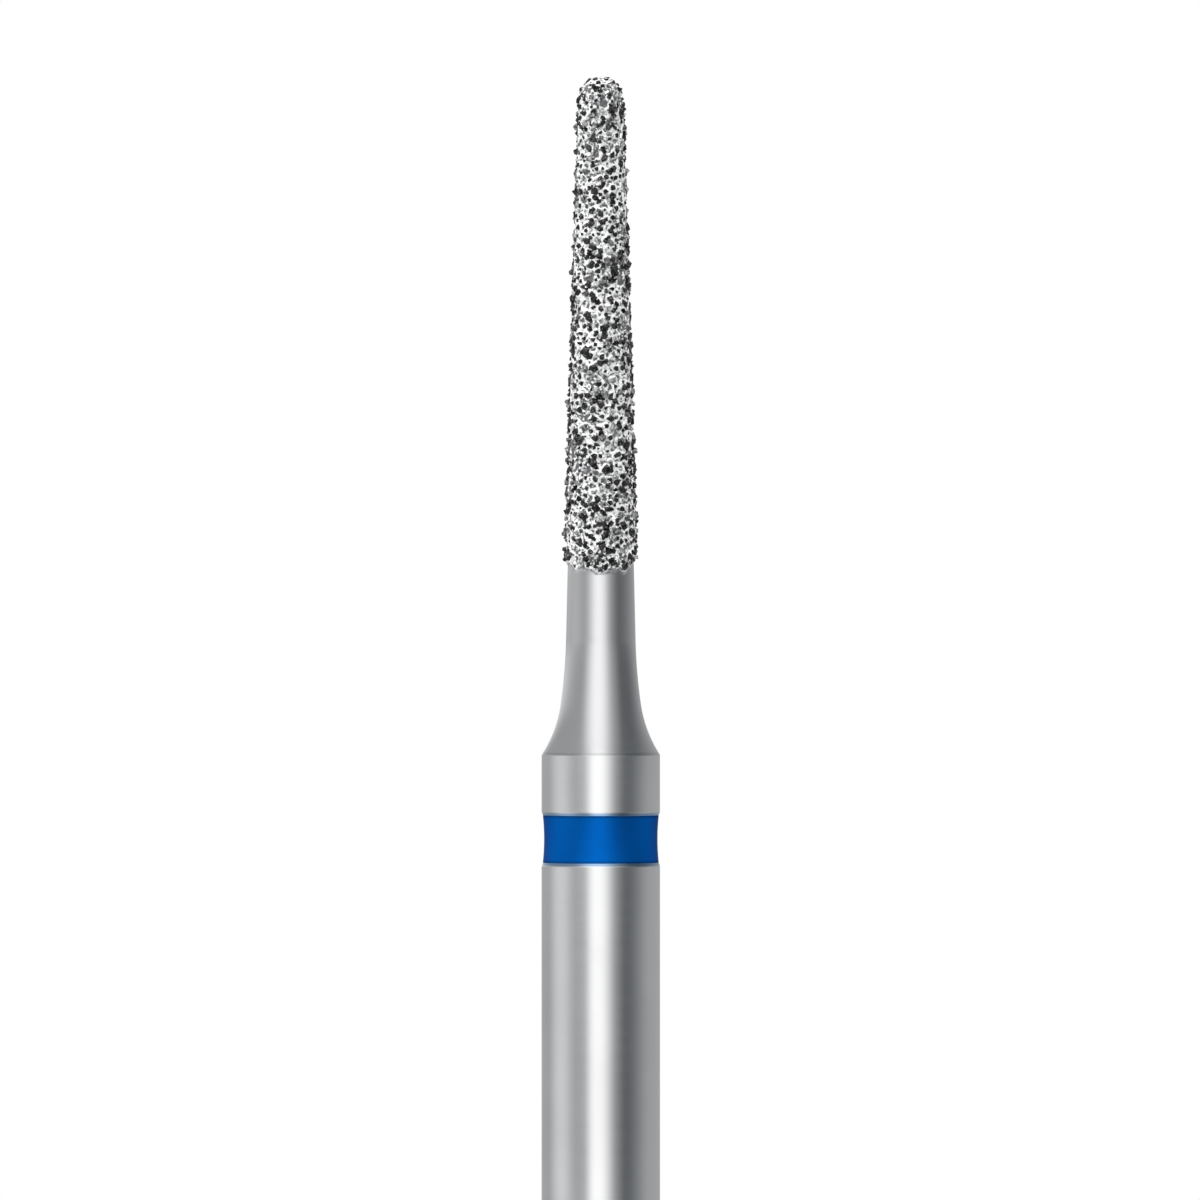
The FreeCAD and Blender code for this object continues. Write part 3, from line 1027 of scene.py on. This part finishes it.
def hang_lamp(sizes, name, strength, bearing):
    """A soft lamp that brings out matt surfaces. Bright ones mirror the panels alone."""
    data = bpy.data.lights.new(name, "SUN")
    data.energy = strength
    data.angle = sizes.lamp_softness
    lamp = add(name, data)
    lamp.rotation_euler = (math.pi / 2 - sizes.lamp_elevation, 0, bearing)
    lamp.visible_glossy = False


def panel_light(shader, panel, bearing, elevation):
    """Brightness that one panel adds in a direction."""
    spread = shader.band(bearing, panel.starts, panel.full, panel.fades, panel.gone)
    light = spread * panel.brightness
    if panel.top is None:
        return light
    return light * (1 - shader.between(elevation, panel.top - TOP_SOFTNESS, panel.top))


def row_light(shader, row, bearing, elevation):
    """Brightness that a row of panels adds in a direction."""
    return sum(panel_light(shader, panel, bearing, elevation) for panel in row)


def studio_light(shader):
    """Brightness of the surroundings in each direction: a surround, the panels, and more overhead."""
    across, away, up = shader.parts(shader.place("Generated"))
    bearing = shader.maths("DEGREES", shader.maths("ARCTAN2", across, away * -1))
    elevation = shader.maths("DEGREES", shader.maths("ARCSINE", up))
    lower = row_light(shader, LOWER_PANELS, bearing, elevation)
    upper = row_light(shader, UPPER_PANELS, bearing, elevation)
    raised = shader.between(elevation, UPPER_FROM, UPPER_FULL)
    back = panel_light(shader, BACK_STRIP, abs(bearing), elevation)
    light = back + SURROUND + lower * (1 - raised) + upper * raised
    above = shader.between(elevation, OVERHEAD_FROM, OVERHEAD_FULL)
    below = shader.between(elevation, BOUNCE_FROM, BOUNCE_FULL)
    light = light * (1 - above) * (1 - below * BOUNCE_SHARE)
    return light + above * OVERHEAD_BRIGHTNESS + below * BOUNCE_BRIGHTNESS


def studio(sizes):
    """Surroundings of soft panels, with a plain backdrop that only the camera sees."""
    world = bpy.data.worlds.new("studio")
    shader = Shader(world)
    light = studio_light(shader)
    channels = {axis: light + cool for axis, cool in enumerate(COOLNESS)}
    tint = shader.node("ShaderNodeCombineColor", {}, channels).outputs[0]
    panels = shader.node("ShaderNodeBackground", {}, {"Color": tint}).outputs[0]
    backdrop = shader.node("ShaderNodeBackground", {}, {"Color": opaque(sizes.backdrop)}).outputs[0]
    seen = shader.node("ShaderNodeLightPath", {}, {}).outputs["Is Camera Ray"]
    mixed = shader.node("ShaderNodeMixShader", {}, {0: seen, 1: panels, 2: backdrop})
    shader.node("ShaderNodeOutputWorld", {}, {"Surface": mixed.outputs[0]})
    return world


def new_camera(sizes):
    """A long lens at the photograph's place, level with the middle of what it takes in."""
    data = bpy.data.cameras.new("camera")
    data.lens = sizes.lens
    data.sensor_width = SENSOR_WIDTH
    data.clip_start = sizes.camera_distance * NEAR_SHARE
    camera = add("camera", data)
    camera.location = (-sizes.camera_side, -sizes.camera_distance, sizes.camera_height)
    camera.rotation_euler = (math.pi / 2, 0, 0)
    return camera


# The panel and the run

GROUPS = {"bur_steel": SteelSizes, "bur_ring": RingSizes, "bur_head": HeadSizes, "bur_stage": StageSizes}
OPERATORS = (MakeSteel, MakeRing, MakeHead, MakeStage)


class BurPanel(bpy.types.Panel):
    """Lists the sizes, the colours and the operators."""

    bl_idname = "VIEW3D_PT_bur"
    bl_label = "Diamond bur"
    bl_space_type = "VIEW_3D"
    bl_region_type = "UI"
    bl_category = "Bur"

    def draw(self, context):
        for name, group in GROUPS.items():
            box = self.layout.box()
            for size in group.__annotations__:
                box.prop(getattr(context.scene, name), size)
        for operator in OPERATORS:
            self.layout.operator(operator.bl_idname)


def register():
    """Make the groups of sizes, the operators and the panel known to Blender."""
    for name, group in GROUPS.items():
        bpy.utils.register_class(group)
        setattr(bpy.types.Scene, name, bpy.props.PointerProperty(type=group))
    for made in (*OPERATORS, BurPanel):
        bpy.utils.register_class(made)


def unregister():
    """Take them out of Blender again."""
    for made in (BurPanel, *reversed(OPERATORS)):
        bpy.utils.unregister_class(made)
    for name, group in GROUPS.items():
        delattr(bpy.types.Scene, name)
        bpy.utils.unregister_class(group)


def main():
    """Build the scene."""
    register()
    bpy.ops.bur.make_stage()
    bpy.ops.bur.make_steel()
    bpy.ops.bur.make_ring()
    bpy.ops.bur.make_head()


if __name__ == "__main__":
    main()
